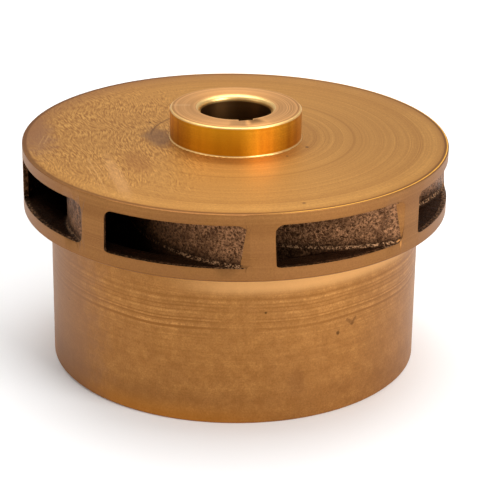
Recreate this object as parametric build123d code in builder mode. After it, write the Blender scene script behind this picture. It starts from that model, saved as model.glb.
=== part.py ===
from build123d import *
from itertools import cycle
from math import acos, cos, degrees, hypot, radians, sin, sqrt
import os

# A closed pump impeller, cast in bronze as one piece and machined all over its outside.
# Millimetres. The origin is the centre of the suction neck's end face, and +Z is the shaft axis,
# towards the hub. The keyway faces -Y. Seen from the hub, the impeller turns clockwise.
# Bearings are in degrees about the shaft, from -Y towards +X.

# Outside, as turned.
impeller_diameter = 133.35
rim_width = 20.8
neck_diameter = 116.2
neck_length = 50.0
hub_diameter = 41.2
hub_height = 9.9
face_rise = 0.4
rim_edge_break = 0.3
neck_edge_chamfer = 0.6
neck_root_radius = 0.6
hub_edge_chamfer = 0.5
hub_root_radius = 0.5

# Bore and keyway, for a 7/8 inch shaft with a 3/16 inch key.
bore_diameter = 22.225
bore_length = 44.8
bore_chamfer = 1.4
key_width = 4.7625
key_reach = 13.37

# Waterway, as cast: the walls, and the turn from the suction eye out to the rim.
back_shroud = 3.3
front_shroud = 3.9
neck_wall = 6.0
eye_turn_radius = 10.0
eye_mouth_radius = 2.0
nose_diameter = 37.0
nose_turn_radius = 17.0
nose_edge_radius = 2.0

# Vanes: in plan, each follows one arc, set by the angles that it makes with the circumference, and thins
# towards its drawn tip, which lies past the rim.
vane_count = 8
vane_outlet_angle = 18.0
vane_inlet_angle = 27.0
vane_inlet_radius = 31.0
vane_tip_thickness = 1.6
vane_middle_thickness = 3.0
vane_nose_thickness = 2.8
vane_inlet_drop = 4.0
vane_inlet_rise = 8.0
vane_edge_radius = 0.7
vane_root_radius = 1.2

# Outlets: windows in a thin cast skin that closes the rim over the vane tips.
# Each land between two windows covers a vane's tip, and one is centred on land_bearing. The window ends
# differ a little, because the mouths were dressed by hand: each row gives one window's leading end at
# top and bottom, then its trailing end, as distances along the rim, starting past that land.
land_bearing = -7.2
land_width = 7.2
rim_skin = 1.5
window_lip = 0.2
leading_top_radius = 2.7
leading_bottom_radius = 0.9
trailing_top_radius = 3.8
trailing_bottom_radius = 2.4
window_end_offsets = (
    (-0.2, 0.5, 1.4, -1.2),
    (-0.3, -0.3, 0.3, -0.5),
    (0.2, 0.0, -0.4, 0.2),
    (0.0, 0.3, 0.5, 0.0),
    (0.3, -0.2, -0.2, -0.6),
    (-0.2, 0.2, 0.2, 0.5),
    (0.1, 0.3, -0.6, -1.4),
    (0.5, 0.3, 0.0, 0.4),
)

# Heights and radii that follow from the sizes above.
rim_radius = impeller_diameter / 2
rim_bottom = neck_length
rim_top = rim_bottom + rim_width
hub_base = rim_top + face_rise
hub_top = rim_top + hub_height
hub_radius = hub_diameter / 2
neck_radius = neck_diameter / 2
eye_radius = neck_radius - neck_wall
nose_radius = nose_diameter / 2
nose_end = hub_top - bore_length
bore_radius = bore_diameter / 2
waterway_floor = rim_bottom + front_shroud
waterway_roof = rim_top - back_shroud
eye_turn_start = waterway_floor - eye_turn_radius
nose_turn_start = waterway_roof - nose_turn_radius
land_pitch = 360 / vane_count

# How far a cutting body runs past the face that it cuts through.
overrun = 5.0


def at_bearing(radius, bearing):
    """Point in plan at a radius from the shaft axis and a bearing from -Y towards +X."""
    return (radius * sin(radians(bearing)), -radius * cos(radians(bearing)))


# The vane's centre line is a circle of radius R whose centre is a distance D from the shaft axis.
# It crosses the radius r at an angle a to the circumference where r^2 + R^2 - D^2 = 2 r R cos(a).
outlet_run = rim_radius * cos(radians(vane_outlet_angle))
inlet_run = vane_inlet_radius * cos(radians(vane_inlet_angle))
vane_arc_radius = (rim_radius**2 - vane_inlet_radius**2) / (2 * (outlet_run - inlet_run))
vane_arc_offset = sqrt(rim_radius**2 + vane_arc_radius**2 - 2 * vane_arc_radius * outlet_run)


def turn_on_arc(radius):
    """Degrees at the arc's centre, from the direction away from the shaft, where the arc is at a radius."""
    away = (radius**2 - vane_arc_radius**2 - vane_arc_offset**2) / (2 * vane_arc_radius * vane_arc_offset)
    return degrees(acos(away))


def turn_at_axis(radius):
    """Degrees at the shaft axis, from the arc's centre to where the arc crosses a radius."""
    towards = (radius**2 + vane_arc_offset**2 - vane_arc_radius**2) / (2 * radius * vane_arc_offset)
    return degrees(acos(towards))


vane_tip_turn = turn_on_arc(rim_radius)
vane_nose_turn = turn_on_arc(vane_inlet_radius)
vane_middle_turn = (vane_tip_turn + vane_nose_turn) / 2
arc_centre_bearing = land_bearing + turn_at_axis(rim_radius)
vane_arc_centre = at_bearing(vane_arc_offset, arc_centre_bearing)


def beside_vane(turn, offset):
    """Point in plan at a turn along the vane's centre line, offset outwards from it."""
    across = at_bearing(vane_arc_radius + offset, arc_centre_bearing - turn)
    return (vane_arc_centre[0] + across[0], vane_arc_centre[1] + across[1])


# The inlet edge slopes from the hub side down to the wall of the eye, and stays clear of the rim's tip.
inlet_edge_low = eye_turn_start - vane_inlet_drop
inlet_edge_slope = vane_inlet_rise / (eye_radius - vane_inlet_radius)


def inlet_edge_height(radius):
    """Height of the vane's inlet edge at a radius from the shaft axis."""
    return inlet_edge_low + inlet_edge_slope * (eye_radius - radius)


# One vane, upright in plan. It is drawn past the rim, where the lathe trims it, and up into the back shroud.
drawn_tip_turn = vane_tip_turn / 2
nose_end_turn = vane_nose_turn + degrees(vane_nose_thickness / 2 / vane_arc_radius)
vane_top = waterway_roof + back_shroud / 2

with BuildPart() as vane:
    with BuildSketch():
        with BuildLine():
            tip_outer = beside_vane(drawn_tip_turn, vane_tip_thickness / 2)
            tip_inner = beside_vane(drawn_tip_turn, -vane_tip_thickness / 2)
            nose_outer = beside_vane(vane_nose_turn, vane_nose_thickness / 2)
            nose_inner = beside_vane(vane_nose_turn, -vane_nose_thickness / 2)
            ThreePointArc(tip_outer, beside_vane(vane_middle_turn, vane_middle_thickness / 2), nose_outer)
            ThreePointArc(nose_outer, beside_vane(nose_end_turn, 0), nose_inner)
            ThreePointArc(nose_inner, beside_vane(vane_middle_turn, -vane_middle_thickness / 2), tip_inner)
            Line(tip_inner, tip_outer)
        make_face()
    extrude(amount=vane_top)
    with BuildSketch(Plane.XZ):
        with BuildLine():
            Polyline(
                (0, 0),
                (0, inlet_edge_height(0)),
                (rim_radius + overrun, inlet_edge_height(rim_radius + overrun)),
                (rim_radius + overrun, 0),
                close=True,
            )
        make_face()
    revolve(mode=Mode.SUBTRACT)
    inlet_face = vane.faces().filter_by(GeomType.CONE)[0]
    inlet_edges = inlet_face.edges().filter_by(
        lambda edge: hypot(edge.center().X, edge.center().Y) < rim_radius
    )
    fillet(inlet_edges, vane_edge_radius)

# The rim's skin, closed all round but for one window to each passage. Each window is cut straight in
# towards the shaft, square to the rim at its middle. The ring is drawn past the rim, as the waterway is.
window_bottom = waterway_floor + window_lip
window_top = waterway_roof - window_lip
half_window = radians(land_pitch / 2) - land_width / 2 / rim_radius


def end_of_window(side, offset):
    """Where an end of the window lies across it: side is -1 or 1, and offset is along the rim."""
    return rim_radius * sin(side * half_window + offset / rim_radius)


with BuildPart() as skin:
    with BuildSketch(Plane.XY.offset(waterway_floor - front_shroud / 2)):
        Circle(rim_radius + 2 * overrun)
        Circle(rim_radius - rim_skin, mode=Mode.SUBTRACT)
    extrude(amount=waterway_roof - waterway_floor + (back_shroud + front_shroud) / 2)
    for index, offsets in zip(range(vane_count), cycle(window_end_offsets)):
        middle_bearing = land_bearing + (index + 0.5) * land_pitch
        outward = (*at_bearing(1, middle_bearing), 0)
        along_rim = (*at_bearing(1, middle_bearing + 90), 0)
        with BuildSketch(Plane(origin=(0, 0, 0), x_dir=along_rim, z_dir=outward)) as window:
            with BuildLine():
                Polyline(
                    (end_of_window(-1, offsets[0]), window_top),
                    (end_of_window(-1, offsets[1]), window_bottom),
                    (end_of_window(1, offsets[3]), window_bottom),
                    (end_of_window(1, offsets[2]), window_top),
                    close=True,
                )
            make_face()
            fillet(window.vertices().group_by(Axis.Y)[-1].sort_by(Axis.X)[0], leading_top_radius)
            fillet(window.vertices().group_by(Axis.Y)[-1].sort_by(Axis.X)[-1], trailing_top_radius)
            fillet(window.vertices().group_by(Axis.Y)[0].sort_by(Axis.X)[0], leading_bottom_radius)
            fillet(window.vertices().group_by(Axis.Y)[0].sort_by(Axis.X)[-1], trailing_bottom_radius)
        extrude(amount=rim_radius + 3 * overrun, mode=Mode.SUBTRACT)

# The waterway: all that the core fills, from the mouth of the eye out past the rim. The vanes are left
# standing in it, with a cast fillet where each meets the walls, and the skin narrows its outlets.
with BuildPart() as waterway:
    with BuildSketch(Plane.XZ):
        with BuildLine():
            Polyline(
                (nose_radius - nose_edge_radius, nose_end),
                (0, nose_end),
                (0, -overrun),
                (eye_radius + eye_mouth_radius, -overrun),
                (eye_radius + eye_mouth_radius, 0),
            )
            RadiusArc(
                (eye_radius + eye_mouth_radius, 0),
                (eye_radius, eye_mouth_radius),
                -eye_mouth_radius,
            )
            Line((eye_radius, eye_mouth_radius), (eye_radius, eye_turn_start))
            RadiusArc(
                (eye_radius, eye_turn_start),
                (eye_radius + eye_turn_radius, waterway_floor),
                eye_turn_radius,
            )
            Polyline(
                (eye_radius + eye_turn_radius, waterway_floor),
                (rim_radius + overrun, waterway_floor),
                (rim_radius + overrun, waterway_roof),
                (nose_radius + nose_turn_radius, waterway_roof),
            )
            RadiusArc(
                (nose_radius + nose_turn_radius, waterway_roof),
                (nose_radius, nose_turn_start),
                -nose_turn_radius,
            )
            Line((nose_radius, nose_turn_start), (nose_radius, nose_end + nose_edge_radius))
            RadiusArc(
                (nose_radius, nose_end + nose_edge_radius),
                (nose_radius - nose_edge_radius, nose_end),
                nose_edge_radius,
            )
        make_face()
    revolve()
    with PolarLocations(0, vane_count):
        add(vane.part, mode=Mode.SUBTRACT)
    vane_roots = waterway.edges(Select.NEW).filter_by(
        lambda edge: hypot(edge.center().X, edge.center().Y) < rim_radius
    )
    fillet(vane_roots, vane_root_radius)
    add(skin.part, mode=Mode.SUBTRACT)

# The casting: turned outside, hollowed by the waterway, closed by the skin, then bored and keyed.
with BuildPart() as impeller:
    with BuildSketch(Plane.XZ) as section:
        with BuildLine():
            Polyline(
                (0, 0),
                (neck_radius, 0),
                (neck_radius, rim_bottom),
                (rim_radius, rim_bottom),
                (rim_radius, rim_top),
                (hub_radius, hub_base),
                (hub_radius, hub_top),
                (0, hub_top),
                close=True,
            )
        make_face()
        chamfer(section.vertices().sort_by_distance((neck_radius, 0))[0], neck_edge_chamfer)
        fillet(section.vertices().sort_by_distance((neck_radius, rim_bottom))[0], neck_root_radius)
        chamfer(section.vertices().sort_by_distance((rim_radius, rim_bottom))[0], rim_edge_break)
        chamfer(section.vertices().sort_by_distance((rim_radius, rim_top))[0], rim_edge_break)
        fillet(section.vertices().sort_by_distance((hub_radius, hub_base))[0], hub_root_radius)
        chamfer(section.vertices().sort_by_distance((hub_radius, hub_top))[0], hub_edge_chamfer)
    revolve()
    add(waterway.part, mode=Mode.SUBTRACT)
    with BuildSketch(Plane.XZ):
        with BuildLine():
            Polyline(
                (0, nose_end - overrun),
                (bore_radius + bore_chamfer, nose_end - overrun),
                (bore_radius + bore_chamfer, nose_end),
                (bore_radius, nose_end + bore_chamfer),
                (bore_radius, hub_top - bore_chamfer),
                (bore_radius + bore_chamfer, hub_top),
                (bore_radius + bore_chamfer, hub_top + overrun),
                (0, hub_top + overrun),
                close=True,
            )
        make_face()
    revolve(mode=Mode.SUBTRACT)
    with BuildSketch(Plane.XY.offset(nose_end - overrun)):
        with Locations((0, -key_reach / 2)):
            Rectangle(key_width, key_reach)
    extrude(amount=bore_length + 2 * overrun, mode=Mode.SUBTRACT)

impeller.part.label = "impeller"
os.makedirs("parts", exist_ok=True)
export_step(impeller.part, "parts/impeller.step")
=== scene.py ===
import math

import bmesh
import bpy
import numpy as np
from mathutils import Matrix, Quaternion, Vector


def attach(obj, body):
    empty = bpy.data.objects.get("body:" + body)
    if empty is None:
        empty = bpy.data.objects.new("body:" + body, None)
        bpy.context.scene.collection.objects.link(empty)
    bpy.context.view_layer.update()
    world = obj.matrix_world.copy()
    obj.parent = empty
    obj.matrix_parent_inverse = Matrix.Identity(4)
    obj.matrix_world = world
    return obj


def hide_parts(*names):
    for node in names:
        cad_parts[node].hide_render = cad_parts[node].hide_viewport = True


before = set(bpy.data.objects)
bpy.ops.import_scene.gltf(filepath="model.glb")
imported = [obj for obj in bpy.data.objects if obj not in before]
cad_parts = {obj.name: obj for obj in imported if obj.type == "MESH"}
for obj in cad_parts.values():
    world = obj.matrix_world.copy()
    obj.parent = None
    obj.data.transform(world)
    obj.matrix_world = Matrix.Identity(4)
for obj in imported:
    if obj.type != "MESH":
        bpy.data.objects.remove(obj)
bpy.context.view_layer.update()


# The casting: the whole impeller is one sand-cast tin bronze piece, a closed wheel of eight
# vanes between two shrouds, with a hub above and a suction neck below. It is poured around a
# core, and then its outside is turned on a lathe.

MM = 0.001
WELD_DISTANCE = 2e-7
SHARP_EDGE = math.radians(32)
FACE_AREA_WEIGHT = 50

casting_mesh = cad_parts["impeller"].data.copy()
casting_mesh.materials.clear()
shell = bmesh.new()
shell.from_mesh(casting_mesh)
bmesh.ops.remove_doubles(shell, verts=shell.verts, dist=WELD_DISTANCE)
shell.to_mesh(casting_mesh)
shell.free()
casting = bpy.data.objects.new("impeller_casting", casting_mesh)
bpy.context.scene.collection.objects.link(casting)
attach(casting, "root")
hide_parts("impeller")


def face_facts(mesh):
    """Centre, unit normal and distance from the shaft of every face at once, in millimetres."""
    count = len(mesh.polygons)
    centre = np.empty(count * 3)
    normal = np.empty(count * 3)
    mesh.polygons.foreach_get("center", centre)
    mesh.polygons.foreach_get("normal", normal)
    centre = centre.reshape(-1, 3) / MM
    normal = normal.reshape(-1, 3)
    return centre, normal, np.hypot(centre[:, 0], centre[:, 1])


# Where the turned finishes start and end, in millimetres: heights above the neck's end, and
# distances from the shaft. The last three say which way a face looks.
DISC_BOTTOM = 70.75
DISC_INSIDE = 20.0
HUB_BOTTOM = 71.25
HUB_OUTSIDE = 21.15
BORE_TOP = 80.65
BORE_OUTSIDE = 14.0
RIM_INSIDE = 66.0
NECK_INSIDE = 57.0
NECK_TOP = 50.05
NECK_END_TOP = 0.7
LOOKS_OUT = 0.7
LOOKS_IN = 0.3
LOOKS_DOWN = -0.5

centre, normal, radius = face_facts(casting_mesh)
height = centre[:, 2]
outward = (centre[:, 0] * normal[:, 0] + centre[:, 1] * normal[:, 1]) / np.maximum(radius, 1e-6)

# The order in which the sections below add their materials.
CAST, DISC, HUB, BORE, RIM, NECK = range(6)
finish = np.full(len(radius), CAST, dtype=np.int32)
finish[(height > DISC_BOTTOM) & (radius > DISC_INSIDE)] = DISC
finish[(height > HUB_BOTTOM) & (radius < HUB_OUTSIDE)] = HUB
in_bore = (radius < BORE_OUTSIDE) & (height < BORE_TOP)
finish[in_bore & (outward < LOOKS_IN) & (normal[:, 2] > LOOKS_DOWN)] = BORE
finish[(radius > RIM_INSIDE) & (height < DISC_BOTTOM) & (outward > LOOKS_OUT)] = RIM
finish[(radius > NECK_INSIDE) & (height < NECK_TOP)] = NECK
finish[(height < NECK_END_TOP)] = NECK
casting_mesh.polygons.foreach_set("material_index", finish)
casting_mesh.polygons.foreach_set("use_smooth", np.ones(len(radius), dtype=bool))
casting_mesh.set_sharp_from_angle(angle=SHARP_EDGE)
facing = casting.modifiers.new("even_shading", "WEIGHTED_NORMAL")
facing.keep_sharp = True
facing.weight = FACE_AREA_WEIGHT


# The cast waterway: the passages between the shrouds and vanes keep the skin of the sand core,
# brown and grainy, because no tool reaches in. Painted shade darkens them towards their floor, and a
# broken painted highlight runs along the foot of each vane, where its fillet meets the floor.


def add_node(tree, kind, inputs=None, **settings):
    """Adds one shader node. Each input is a plain value, or another node's output to link."""
    made = tree.nodes.new(kind)
    for name, value in settings.items():
        setattr(made, name, value)
    for name, value in (inputs or {}).items():
        if isinstance(value, bpy.types.NodeSocket):
            tree.links.new(value, made.inputs[name])
        else:
            made.inputs[name].default_value = value
    return made


def maths(tree, operation, first, second=0.0, third=0.0):
    """One Math node's result."""
    inputs = {0: first, 1: second, 2: third}
    return add_node(tree, "ShaderNodeMath", inputs, operation=operation).outputs[0]


def times(tree, first, second):
    """The product of two values."""
    return maths(tree, "MULTIPLY", first, second)


def swing(tree, value):
    """A cloudy value from 0 to 1, moved to run from -0.5 to 0.5."""
    return maths(tree, "SUBTRACT", value, 0.5)


def vector_maths(tree, operation, first, second):
    """One Vector Math node's outputs."""
    return add_node(tree, "ShaderNodeVectorMath", {0: first, 1: second}, operation=operation).outputs


def spread(tree, value, low, high, to_low=0.0, to_high=1.0):
    """The value carried smoothly from the span low..high to the span to_low..to_high, and held there."""
    return add_node(
        tree,
        "ShaderNodeMapRange",
        {"Value": value, "From Min": low, "From Max": high, "To Min": to_low, "To Max": to_high},
        interpolation_type="SMOOTHSTEP",
    ).outputs["Result"]


def band_of(tree, value, start, full, fade, end):
    """1 where the value lies between full and fade, falling smoothly to 0 at start and at end."""
    return times(tree, spread(tree, value, start, full), spread(tree, value, end, fade))


def noise(tree, position, scale, detail=2.0, roughness=0.5, distortion=0.0, dimensions="3D"):
    """A cloudy value from 0 to 1. A 1D cloud varies only along the number it is given."""
    place = "W" if dimensions == "1D" else "Vector"
    return add_node(
        tree,
        "ShaderNodeTexNoise",
        {
            place: position,
            "Scale": scale,
            "Detail": detail,
            "Roughness": roughness,
            "Distortion": distortion,
        },
        noise_dimensions=dimensions,
    ).outputs["Fac"]


def blend_colour(tree, amount, under, over):
    """The colour under, covered by the colour over as far as amount says."""
    mixer = add_node(tree, "ShaderNodeMix", {"Factor": amount}, data_type="RGBA")
    for socket, colour in ((mixer.inputs[6], under), (mixer.inputs[7], over)):
        if isinstance(colour, bpy.types.NodeSocket):
            tree.links.new(colour, socket)
        else:
            socket.default_value = colour
    return mixer.outputs[2]


def tint(tree, colour, mask, strength, over):
    """The colour, tinted with the colour over where the mask is, and as far as strength."""
    return blend_colour(tree, times(tree, mask, strength), colour, over)


def srgb(red, green, blue):
    """A colour written as display values from 0 to 255, as the linear colour that shaders take."""
    values = np.array([red, green, blue]) / 255
    linear = np.where(values <= 0.04045, values / 12.92, ((values + 0.055) / 1.055) ** 2.4)
    return (*linear, 1.0)


def place_in_mm(tree):
    """Where a point is on the piece in millimetres, and its distance from the shaft and height."""
    here = add_node(tree, "ShaderNodeTexCoord").outputs["Object"]
    scaled = add_node(tree, "ShaderNodeVectorMath", {0: here, "Scale": 1 / MM}, operation="SCALE").outputs[0]
    parts = add_node(tree, "ShaderNodeSeparateXYZ", {0: scaled}).outputs
    flat = add_node(tree, "ShaderNodeCombineXYZ", {0: parts[0], 1: parts[1]}).outputs[0]
    reach = add_node(tree, "ShaderNodeVectorMath", {0: flat}, operation="LENGTH").outputs["Value"]
    return scaled, reach, parts[2]


def new_metal(name, roughness, turned=0.0):
    """A bronze with a bare Principled shader. Turned metal spreads its shine across the lathe's grooves,
    along the cross product of the surface's normal and the direction around the shaft."""
    material = bpy.data.materials.new(name)
    material.use_nodes = True
    tree = material.node_tree
    shader = tree.nodes["Principled BSDF"]
    shader.inputs["Metallic"].default_value = 1.0
    shader.inputs["Roughness"].default_value = roughness
    shader.inputs["Anisotropic"].default_value = turned
    if turned:
        position = add_node(tree, "ShaderNodeTexCoord").outputs["Object"]
        around = vector_maths(tree, "CROSS_PRODUCT", (0, 0, 1), position)[0]
        facing = add_node(tree, "ShaderNodeNewGeometry").outputs["Normal"]
        across = vector_maths(tree, "CROSS_PRODUCT", facing, around)[0]
        tree.links.new(across, shader.inputs["Tangent"])
    casting_mesh.materials.append(material)
    return tree, shader


def dent(tree, shader, height_value, depth_mm):
    """Feeds a height to the shader as a bump of that many millimetres."""
    bump = add_node(
        tree, "ShaderNodeBump", {"Height": height_value, "Distance": depth_mm * MM, "Strength": 1.0}
    )
    tree.links.new(bump.outputs["Normal"], shader.inputs["Normal"])


SAND_DARK = srgb(62, 37, 20)
SAND_PALE = srgb(176, 126, 88)
LUMP_BROWN = srgb(84, 54, 34)
FLOOR_SHADE_BROWN = srgb(34, 19, 10)
FILLET_HIGHLIGHT_PALE = srgb(214, 164, 120)
FLOOR_HEIGHT = 54.2
FLOOR_SHADE_TOP = 57.5
FILLET_HIGHLIGHT_HEIGHTS = (53.95, FLOOR_HEIGHT, 54.6, 55.2)
SAND_DEPTH = 0.5

tree, shader = new_metal("cast_waterway", 0.5)
position, _, rise = place_in_mm(tree)
grain = noise(tree, position, 1.3, 3.0, 0.8)
lumps = noise(tree, position, 0.28, 2.0, 0.5)
colour = blend_colour(tree, spread(tree, grain, 0.36, 0.66), SAND_DARK, SAND_PALE)
colour = blend_colour(tree, spread(tree, lumps, 0.4, 0.7, 0.0, 0.6), colour, LUMP_BROWN)
# Painted shade, darkening the passages towards their floor.
painted_floor_shade = spread(tree, rise, FLOOR_SHADE_TOP, FLOOR_HEIGHT, 0.0, 0.75)
colour = blend_colour(tree, painted_floor_shade, colour, FLOOR_SHADE_BROWN)
# A broken painted highlight along the fillet at each vane's foot.
broken = spread(tree, noise(tree, position, 1.4, 2.0, 0.7), 0.48, 0.58)
painted_fillet_highlight = times(tree, band_of(tree, rise, *FILLET_HIGHLIGHT_HEIGHTS), broken)
colour = tint(tree, colour, painted_fillet_highlight, 0.75, FILLET_HIGHLIGHT_PALE)
tree.links.new(colour, shader.inputs["Base Color"])
dent(tree, shader, maths(tree, "MULTIPLY_ADD", lumps, 1.5, grain), SAND_DEPTH)


# The back shroud's outer face: a flat disc faced on the lathe, with the tool's rings all over it. On
# one side it was dressed again straight across, and those strokes break up the rings in short ripples.

FLOAT = "NodeSocketFloat"
VECTOR = "NodeSocketVector"


def new_group(name, inputs, outputs):
    """A shared effect: a node group with the named input and output sockets."""
    tree = bpy.data.node_groups.new(name, "ShaderNodeTree")
    for label, kind in inputs.items():
        tree.interface.new_socket(label, in_out="INPUT", socket_type=kind)
    for label in outputs:
        tree.interface.new_socket(label, in_out="OUTPUT", socket_type=FLOAT)
    return tree, tree.nodes.new("NodeGroupInput").outputs, tree.nodes.new("NodeGroupOutput").inputs


# Turning leaves grooves side by side, some deeper or brighter than the next, and patchy along their
# length. The three clouds are fine, middle and broad grooves, by their number in a millimetre.
FINE_GROOVES = 2.9
MIDDLE_GROOVES = 0.9
BROAD_GROOVES = 0.22
lathe_lines, given, result = new_group(
    "lathe_lines", {"Across": FLOAT, "Position": VECTOR}, ["Height", "Tone"]
)
fine = noise(lathe_lines, given["Across"], FINE_GROOVES, 2.0, 0.6, dimensions="1D")
middle = noise(lathe_lines, given["Across"], MIDDLE_GROOVES, 1.0, 0.5, dimensions="1D")
broad = noise(lathe_lines, given["Across"], BROAD_GROOVES, 1.0, 0.5, dimensions="1D")
patch = spread(lathe_lines, noise(lathe_lines, given["Position"], 0.07, 2.0), 0.35, 0.65, 0.25, 1.0)
line = times(lathe_lines, swing(lathe_lines, fine), patch)
line = maths(lathe_lines, "MULTIPLY_ADD", swing(lathe_lines, middle), 0.5, line)
lathe_lines.links.new(line, result["Height"])
tone = maths(lathe_lines, "MULTIPLY_ADD", swing(lathe_lines, broad), 0.6, line)
lathe_lines.links.new(maths(lathe_lines, "ADD", tone, 0.5), result["Tone"])

# Air and handling tint the bare metal in clouds and flecks.
tarnish, given, result = new_group("tarnish", {"Position": VECTOR}, ["Cloud", "Fleck"])
cloud = noise(tarnish, given["Position"], 0.06, 4.0, 0.6, 0.6)
fleck = noise(tarnish, given["Position"], 1.9, 3.0, 0.75)
tarnish.links.new(spread(tarnish, cloud, 0.35, 0.65), result["Cloud"])
tarnish.links.new(spread(tarnish, fleck, 0.33, 0.67), result["Fleck"])

# A stain, a pit or a patch of painted shade: full at its centre, and gone at its size, with an edge that
# wanders.
spot, given, result = new_group("spot", {"Position": VECTOR, "Centre": VECTOR, "Size": VECTOR}, ["Mask"])
away = vector_maths(spot, "SUBTRACT", given["Position"], given["Centre"])[0]
away = vector_maths(spot, "DIVIDE", away, given["Size"])[0]
away = add_node(spot, "ShaderNodeVectorMath", {0: away}, operation="LENGTH").outputs["Value"]
wander = swing(spot, noise(spot, given["Position"], 0.25, 3.0, 0.6))
spot.links.new(spread(spot, maths(spot, "MULTIPLY_ADD", wander, 0.8, away), 1.0, 0.35), result["Mask"])

# A scratch: a straight thin line from its start to its finish. A point is in it by its distance from
# the nearest point of the line, in widths.
scratch, given, result = new_group(
    "scratch", {"Position": VECTOR, "Start": VECTOR, "Finish": VECTOR, "Width": FLOAT}, ["Mask"]
)
along = vector_maths(scratch, "SUBTRACT", given["Finish"], given["Start"])[0]
gone = vector_maths(scratch, "SUBTRACT", given["Position"], given["Start"])[0]
dot_gone = vector_maths(scratch, "DOT_PRODUCT", gone, along)["Value"]
dot_along = vector_maths(scratch, "DOT_PRODUCT", along, along)["Value"]
share = maths(scratch, "MAXIMUM", maths(scratch, "DIVIDE", dot_gone, dot_along), 0.0)
share = maths(scratch, "MINIMUM", share, 1.0)
nearest = add_node(scratch, "ShaderNodeVectorMath", {0: along, "Scale": share}, operation="SCALE").outputs[0]
apart = vector_maths(scratch, "DISTANCE", gone, nearest)["Value"]
scratch.links.new(
    spread(scratch, maths(scratch, "DIVIDE", apart, given["Width"]), 1.0, 0.3), result["Mask"]
)


def lines_of(tree, across, position):
    """The lathe's grooves, side by side along the number across."""
    inputs = {"Across": across, "Position": position}
    return add_node(tree, "ShaderNodeGroup", inputs, node_tree=lathe_lines).outputs


def tarnish_of(tree, position):
    """The metal's clouds and flecks."""
    return add_node(tree, "ShaderNodeGroup", {"Position": position}, node_tree=tarnish).outputs


def spot_at(tree, position, centre_mm, size_mm):
    """How far one stain, pit or patch of painted shade covers a point."""
    inputs = {"Position": position, "Centre": centre_mm, "Size": size_mm}
    return add_node(tree, "ShaderNodeGroup", inputs, node_tree=spot).outputs["Mask"]


def scratch_at(tree, position, start_mm, finish_mm, width_mm):
    """How far one scratch covers a point."""
    inputs = {"Position": position, "Start": start_mm, "Finish": finish_mm, "Width": width_mm}
    return add_node(tree, "ShaderNodeGroup", inputs, node_tree=scratch).outputs["Mask"]


def spotted(tree, colour, position, spots):
    """The colour under a row of stains, pits and patches of painted shade: each has a centre, a size, a
    strength and a colour.
    """
    for centre_mm, size_mm, strength, spot_colour in spots:
        colour = tint(tree, colour, spot_at(tree, position, centre_mm, size_mm), strength, spot_colour)
    return colour


def scratched(tree, colour, position, scratches, strength, scratch_colour):
    """The colour under a row of scratches: each has a start, a finish and a width."""
    for start_mm, finish_mm, width_mm in scratches:
        mark = scratch_at(tree, position, start_mm, finish_mm, width_mm)
        colour = tint(tree, colour, mark, strength, scratch_colour)
    return colour


GROOVE_BROWN = srgb(160, 106, 46)
RIDGE_GOLD = srgb(222, 168, 90)
DISC_CLOUD = srgb(188, 134, 66)
DISC_FLECK = srgb(146, 94, 46)
BACK_LEFT_SHADE_BROWN = srgb(160, 108, 60)
EDGE_BROWN = srgb(116, 70, 30)
LIP_HIGHLIGHT_GOLD = srgb(255, 192, 80)
SCRATCH_PALE = srgb(236, 186, 118)
RING_BROWN = srgb(112, 70, 36)
DRESSED_CENTRE = (-40, 12, 71.2)
DRESSED_SIZE = (46, 70, 40)
STROKES_ACROSS = 1.9
STROKES_ALONG = 0.3
RING_RADIUS = 26.6
DISC_SPOTS = (
    ((-24, 4, 71.2), (6, 12, 9), 0.7, srgb(128, 90, 62)),
    ((-35, -17, 71.2), (6, 13, 9), 0.5, srgb(158, 102, 48)),
    ((-43, -28, 71.2), (3.0, 24, 9), 0.4, srgb(220, 168, 110)),
    ((-62, 22, 71.2), (9, 34, 9), 0.7, srgb(146, 102, 76)),
    ((-23.5, 18.6, 71.2), (0.6, 0.6, 2), 0.9, srgb(60, 34, 20)),
    ((19.0, -15.0, 71.2), (0.9, 0.9, 2), 0.8, srgb(70, 42, 24)),
    ((10.8, -21.6, 71.2), (0.6, 0.6, 2), 0.8, srgb(70, 42, 24)),
    ((5.2, -60.2, 71.0), (0.8, 0.8, 2), 0.7, srgb(90, 56, 30)),
)
DISC_SCRATCHES = (
    ((-48.7, -10.6, 71.2), (-48.1, -40.3, 71.2), 0.5),
    ((-47.2, -14.0, 71.2), (-46.0, -36.0, 71.2), 0.4),
    ((-50.2, -17.0, 71.2), (-49.2, -42.0, 71.2), 0.45),
    ((-59.6, 6.0, 71.2), (-56.4, 15.0, 71.2), 0.5),
    ((-61.4, 5.0, 71.2), (-58.4, 13.4, 71.2), 0.5),
)
DISC_GROOVE_DEPTH = 0.016

tree, shader = new_metal("faced_disc", 0.5, turned=0.15)
position, reach, _ = place_in_mm(tree)
sides = add_node(tree, "ShaderNodeSeparateXYZ", {0: position}).outputs
lines = lines_of(tree, reach, position)
stain = tarnish_of(tree, position)

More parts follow.
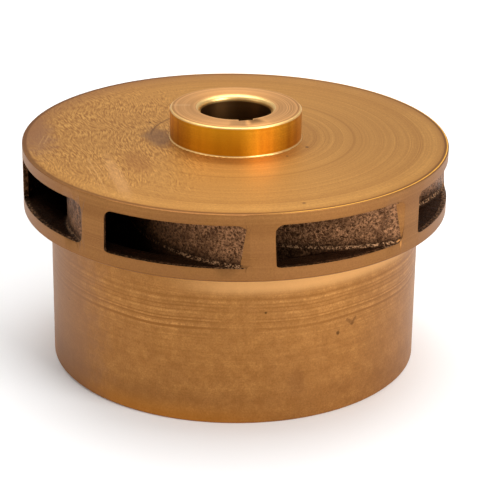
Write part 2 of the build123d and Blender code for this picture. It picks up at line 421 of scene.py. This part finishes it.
# The strokes run along Y, bent a little by a wide cloud, and fade where the dressing stops.
bend = times(tree, noise(tree, position, 0.05, 1.0), 9.0)
stroke_x = times(tree, maths(tree, "ADD", sides[0], bend), STROKES_ACROSS)
stroke_y = times(tree, sides[1], STROKES_ALONG)
stroke = add_node(tree, "ShaderNodeCombineXYZ", {0: stroke_x, 1: stroke_y}).outputs[0]
ripple = swing(tree, noise(tree, stroke, 1.0, 1.0, 0.6))
broken = spread(tree, noise(tree, position, 0.12, 2.0), 0.3, 0.6, 0.5, 1.0)
ripple = times(tree, ripple, broken)
dressed = spot_at(tree, position, DRESSED_CENTRE, DRESSED_SIZE)
ripple = times(tree, ripple, dressed)
plain = maths(tree, "SUBTRACT", 1.0, times(tree, dressed, 0.7))
line_tone = maths(tree, "MULTIPLY_ADD", swing(tree, lines["Tone"]), plain, 0.5)
tone = maths(tree, "MULTIPLY_ADD", ripple, 4.2, line_tone)
colour = blend_colour(tree, tone, GROOVE_BROWN, RIDGE_GOLD)
colour = tint(tree, colour, stain["Cloud"], 0.35, DISC_CLOUD)
colour = tint(tree, colour, stain["Fleck"], 0.35, DISC_FLECK)
colour = spotted(tree, colour, position, DISC_SPOTS)

# The disc carries painted shade, browner towards its back and left edge, and a dark line just inside
# the rim. Outside that line, a painted highlight lies on the lip on its right side.
# Painted shade over the back and left of the disc, away from the lamps.
painted_border_shade = times(tree, spread(tree, reach, 55.0, 66.0), spread(tree, sides[1], -6.0, 26.0))
painted_border_shade = times(tree, painted_border_shade, spread(tree, sides[0], 40.0, -10.0, 0.35, 1.0))
colour = tint(tree, colour, painted_border_shade, 0.7, BACK_LEFT_SHADE_BROWN)
colour = tint(tree, colour, spread(tree, reach, 64.9, 65.6), 0.75, EDGE_BROWN)
# A painted highlight on the lip at the rim's edge, on the right side.
colour = tint(tree, colour, spread(tree, reach, 65.9, 66.15), spread(tree, sides[0], -12.0, 6.0), LIP_HIGHLIGHT_GOLD)
colour = scratched(tree, colour, position, DISC_SCRATCHES, 0.5, SCRATCH_PALE)

# Part of one deeper ring shows beside the hub.
off_ring = maths(tree, "ABSOLUTE", maths(tree, "SUBTRACT", reach, RING_RADIUS))
ring = times(tree, spread(tree, off_ring, 0.5, 0.15), spread(tree, sides[0], -8.0, -16.0))
ring = times(tree, ring, spread(tree, sides[1], 4.0, 11.0))
colour = tint(tree, colour, ring, 0.6, RING_BROWN)
tree.links.new(colour, shader.inputs["Base Color"])
dent(tree, shader, maths(tree, "MULTIPLY_ADD", ripple, 3.0, lines["Height"]), DISC_GROOVE_DEPTH)


# The hub: a short boss of the same casting, turned bright around the shaft bore. Its top is faced
# duller than its side. Its edges carry painted highlights, and its side painted bands of light and shade.

SIDE_ROUGHNESS = 0.4
TOP_EXTRA_ROUGHNESS = 0.12
HUB_GOLD_DEEP = srgb(212, 142, 26)
HUB_GOLD = srgb(240, 178, 52)
HUB_FLECK = srgb(168, 100, 24)
HUB_BAND_SHADE = srgb(170, 98, 22)
HUB_SIDE_HIGHLIGHT = srgb(255, 178, 34)
TOP_BROWN = srgb(172, 118, 62)
TOP_TAN = srgb(224, 170, 108)
EDGE_HIGHLIGHT_PALE = srgb(250, 206, 132)
NICK_PALE = srgb(236, 200, 150)
HUB_NICK = ((-19.1, 5.9, 80.7), (-13.6, 4.7, 80.7), 0.35)
HUB_GROOVE_DEPTH = 0.01

tree, shader = new_metal("turned_hub", SIDE_ROUGHNESS, turned=0.3)
position, reach, rise = place_in_mm(tree)
lines = lines_of(tree, maths(tree, "ADD", reach, rise), position)
stain = tarnish_of(tree, position)
colour = blend_colour(tree, lines["Tone"], HUB_GOLD_DEEP, HUB_GOLD)
colour = tint(tree, colour, stain["Fleck"], 0.3, HUB_FLECK)
sides = add_node(tree, "ShaderNodeSeparateXYZ", {0: position}).outputs
turn = maths(tree, "ARCTAN2", sides[1], sides[0])
# Painted dark bands round the hub's side, standing in for the lamps' reflections.
painted_reflection_bands = spread(tree, noise(tree, turn, 2.6, 2.0, 0.6, dimensions="1D"), 0.38, 0.66)
colour = tint(tree, colour, painted_reflection_bands, 0.55, HUB_BAND_SHADE)
# A painted highlight down the left of the hub's side.
colour = tint(tree, colour, band_of(tree, sides[0], -20.0, -12.0, -6.0, 2.0), 0.6, HUB_SIDE_HIGHLIGHT)
top = spread(tree, rise, 80.55, 80.65)
top_tone = maths(tree, "MULTIPLY_ADD", swing(tree, lines["Tone"]), 2.0, 0.5)
colour = blend_colour(tree, top, colour, blend_colour(tree, top_tone, TOP_BROWN, TOP_TAN))
roughness = maths(tree, "MULTIPLY_ADD", top, TOP_EXTRA_ROUGHNESS, SIDE_ROUGHNESS)
tree.links.new(roughness, shader.inputs["Roughness"])
# Painted highlights along the hub's top edge and along its foot.
top_edge_highlight = times(tree, spread(tree, rise, 80.1, 80.25), spread(tree, reach, 19.9, 20.15))
foot_highlight = spread(tree, rise, 71.75, 71.55)
colour = blend_colour(tree, maths(tree, "MAXIMUM", top_edge_highlight, foot_highlight), colour, EDGE_HIGHLIGHT_PALE)
colour = scratched(tree, colour, position, (HUB_NICK,), 0.6, NICK_PALE)
tree.links.new(colour, shader.inputs["Base Color"])
dent(tree, shader, lines["Height"], HUB_GROOVE_DEPTH)


# The shaft bore and its keyway: bored and broached to size in the casting. The chamfer at the mouth is
# bright, and the wall below it carries painted shade, darker than the outside.

CHAMFER_GOLD = srgb(244, 190, 112)
CHAMFER_PALE = srgb(255, 220, 150)
WALL_SHADE_BROWN = srgb(86, 48, 20)
CHAMFER_FOOT = 79.3
WALL_TOP = 78.7
BORE_GROOVE_DEPTH = 0.012

tree, shader = new_metal("shaft_bore", 0.4, turned=0.3)
position, _, rise = place_in_mm(tree)
lines = lines_of(tree, rise, position)
colour = blend_colour(tree, lines["Tone"], CHAMFER_GOLD, CHAMFER_PALE)
# Painted shade down the bore's wall.
colour = tint(tree, colour, spread(tree, rise, CHAMFER_FOOT, WALL_TOP), 0.92, WALL_SHADE_BROWN)
tree.links.new(colour, shader.inputs["Base Color"])
dent(tree, shader, lines["Height"], BORE_GROOVE_DEPTH)


# The rim: the wheel's edge, turned to size through the vane tips after casting, and browner than
# the disc.

RIM_BROWN = srgb(132, 86, 44)
RIM_TAN = srgb(170, 120, 68)
RIM_CLOUD = srgb(150, 102, 62)
RIM_FLECK = srgb(122, 78, 42)
RIM_GROOVE_DEPTH = 0.014

tree, shader = new_metal("turned_rim", 0.5, turned=0.2)
position, _, rise = place_in_mm(tree)
lines = lines_of(tree, rise, position)
stain = tarnish_of(tree, position)
colour = blend_colour(tree, lines["Tone"], RIM_BROWN, RIM_TAN)
colour = tint(tree, colour, stain["Cloud"], 0.4, RIM_CLOUD)
colour = tint(tree, colour, stain["Fleck"], 0.35, RIM_FLECK)
tree.links.new(colour, shader.inputs["Base Color"])
dent(tree, shader, maths(tree, "MULTIPLY_ADD", stain["Fleck"], 0.6, lines["Height"]), RIM_GROOVE_DEPTH)


# The suction neck: a plain turned cylinder that runs in the pump casing's wear ring. A band of coarser
# grooves is left below the wheel, and the rest is worn to a fine mottled finish.

NECK_BROWN = srgb(150, 98, 48)
NECK_TAN = srgb(206, 148, 84)
NECK_CLOUD = srgb(152, 104, 60)
NECK_MOTTLE = srgb(146, 96, 46)
NECK_FLECK = srgb(138, 92, 48)
NECK_TOP_HIGHLIGHT_TAN = srgb(222, 168, 106)
BOUNCE_GLOW_GOLD = srgb(196, 126, 44)
SCRATCH_BROWN = srgb(104, 66, 34)
GROOVE_BAND = (24.0, 31.0, 40.5, 42.5)
GROOVES_PER_MM = 1.05
NECK_SPOTS_AND_SHADE = (
    # The first is painted shade over the neck's left side; the others are stains and pits.
    ((-58, -12, 20), (20, 34, 60), 0.6, srgb(142, 101, 70)),
    ((5.2, -57.9, 12.6), (4, 8, 6), 0.35, srgb(126, 82, 46)),
    ((-4.9, -57.9, 36.3), (0.6, 1, 0.6), 0.8, srgb(70, 44, 24)),
    ((18.3, -55.1, 26.2), (0.8, 1.2, 1.0), 0.8, srgb(84, 52, 26)),
)
NECK_SCRATCHES = (
    ((-58.0, -3.1, 28.6), (-56.0, -15.5, 27.0), 0.3),
    ((21.5, -54.0, 29.8), (23.2, -53.3, 28.1), 0.9),
    ((23.2, -53.3, 28.1), (24.4, -52.7, 29.8), 0.7),
)
NECK_GROOVE_DEPTH = 0.012

tree, shader = new_metal("turned_neck", 0.5, turned=0.2)
position, reach, rise = place_in_mm(tree)
sides = add_node(tree, "ShaderNodeSeparateXYZ", {0: position}).outputs
lines = lines_of(tree, maths(tree, "ADD", rise, reach), position)
stain = tarnish_of(tree, position)

# The coarse grooves wander a little up and down, and are patchy round the neck.
patch = spread(tree, noise(tree, position, 0.03, 1.0), 0.35, 0.6, 0.2, 1.0)
band = times(tree, band_of(tree, rise, *GROOVE_BAND), patch)
wandering = maths(tree, "MULTIPLY_ADD", noise(tree, position, 0.04, 1.0), 1.6, rise)
groove = noise(tree, wandering, GROOVES_PER_MM, 1.0, 0.6, dimensions="1D")
groove = times(tree, swing(tree, groove), band)
line_tone = maths(tree, "MULTIPLY_ADD", swing(tree, lines["Tone"]), 0.6, 0.5)
tone = maths(tree, "MULTIPLY_ADD", groove, 2.2, line_tone)
colour = blend_colour(tree, tone, NECK_BROWN, NECK_TAN)
colour = tint(tree, colour, stain["Cloud"], 0.35, NECK_CLOUD)
mottle = spread(tree, noise(tree, position, 0.3, 4.0, 0.7), 0.36, 0.64)
colour = tint(tree, colour, mottle, 0.5, NECK_MOTTLE)
colour = tint(tree, colour, stain["Fleck"], 0.6, NECK_FLECK)

# A painted highlight runs right under the wheel, and a painted warm glow low down on one side.
# Painted highlight: the neck's top reflecting the lit floor further out.
painted_top_highlight = times(tree, spread(tree, rise, 41.0, 44.5), spread(tree, sides[0], -38.0, -12.0))
colour = tint(tree, colour, painted_top_highlight, 0.7, NECK_TOP_HIGHLIGHT_TAN)
# A painted glow of warm light bounced up from the floor, low on the left.
painted_bounce_glow = times(tree, spread(tree, rise, 8.0, 0.0), spread(tree, sides[0], 10.0, -30.0))
colour = tint(tree, colour, painted_bounce_glow, 0.6, BOUNCE_GLOW_GOLD)
colour = spotted(tree, colour, position, NECK_SPOTS_AND_SHADE)
colour = scratched(tree, colour, position, NECK_SCRATCHES, 0.5, SCRATCH_BROWN)
tree.links.new(colour, shader.inputs["Base Color"])
worn = maths(tree, "MULTIPLY_ADD", stain["Fleck"], 0.8, lines["Height"])
dent(tree, shader, maths(tree, "MULTIPLY_ADD", groove, 2.5, worn), NECK_GROOVE_DEPTH)


# The floor: a plain pale matt sheet that the impeller stands on, on its neck's end. It is no part
# of the impeller.

FLOOR_REACH = 6.0
FLOOR_PALE = (0.92, 0.92, 0.92, 1)

floor_mesh = bpy.data.meshes.new("floor")
corners = FLOOR_REACH * np.array([(-1, -1, 0), (1, -1, 0), (1, 1, 0), (-1, 1, 0)])
floor_mesh.from_pydata(corners.tolist(), [], [(0, 1, 2, 3)])
floor = bpy.data.objects.new("floor", floor_mesh)
bpy.context.scene.collection.objects.link(floor)
pale = bpy.data.materials.new("pale_floor")
pale.use_nodes = True
pale_shader = pale.node_tree.nodes["Principled BSDF"]
pale_shader.inputs["Base Color"].default_value = FLOOR_PALE
pale_shader.inputs["Roughness"].default_value = 0.9
floor_mesh.materials.append(pale)


# The light: a pale room and three broad soft boxes, above, to the right and, weakest, to the left,
# at a plain level.

ROOM_GREY = (0.45, 0.45, 0.45, 1)
AIM_HEIGHT = 0.04

world = bpy.data.worlds.new("pale_room")
world.use_nodes = True
world.node_tree.nodes["Background"].inputs["Color"].default_value = ROOM_GREY
bpy.context.scene.world = world


def soft_box(name, place, size, watts):
    """A square lamp at that place, in metres, that faces the impeller."""
    lamp = bpy.data.lights.new(name, "AREA")
    lamp.shape = "SQUARE"
    lamp.size = size
    lamp.energy = watts
    holder = bpy.data.objects.new(name, lamp)
    holder.location = place
    aim = Vector((0, 0, AIM_HEIGHT)) - Vector(place)
    holder.rotation_euler = aim.to_track_quat("-Z", "Y").to_euler()
    bpy.context.scene.collection.objects.link(holder)


soft_box("soft_box_above", (0.1, 0.35, 1.3), 1.2, 16)
soft_box("soft_box_right", (0.75, -1.05, 0.75), 0.8, 16)
soft_box("soft_box_left", (-1.25, -0.25, 0.6), 0.8, 1.5)


# The camera: a long lens, in front of the impeller and a little to its left, looking down on the
# hub's side of the wheel. It is rolled by less than a degree.

CAMERA_PLACE = Vector((-0.14143, -0.55894, 0.27172))
CAMERA_AIM = Vector((0.001736, -0.000439, 0.035850))
CAMERA_LENS = 145.8
CAMERA_SENSOR = 36
CAMERA_ROLL = math.radians(0.722)

camera = bpy.data.objects.new("camera", bpy.data.cameras.new("camera"))
camera.data.lens = CAMERA_LENS
camera.data.sensor_width = CAMERA_SENSOR
camera.location = CAMERA_PLACE
level = (CAMERA_AIM - CAMERA_PLACE).to_track_quat("-Z", "Y")
camera.rotation_mode = "QUATERNION"
camera.rotation_quaternion = level @ Quaternion((0, 0, 1), CAMERA_ROLL)
bpy.context.scene.collection.objects.link(camera)
bpy.context.scene.camera = camera
bpy.context.scene.view_settings.view_transform = "Standard"
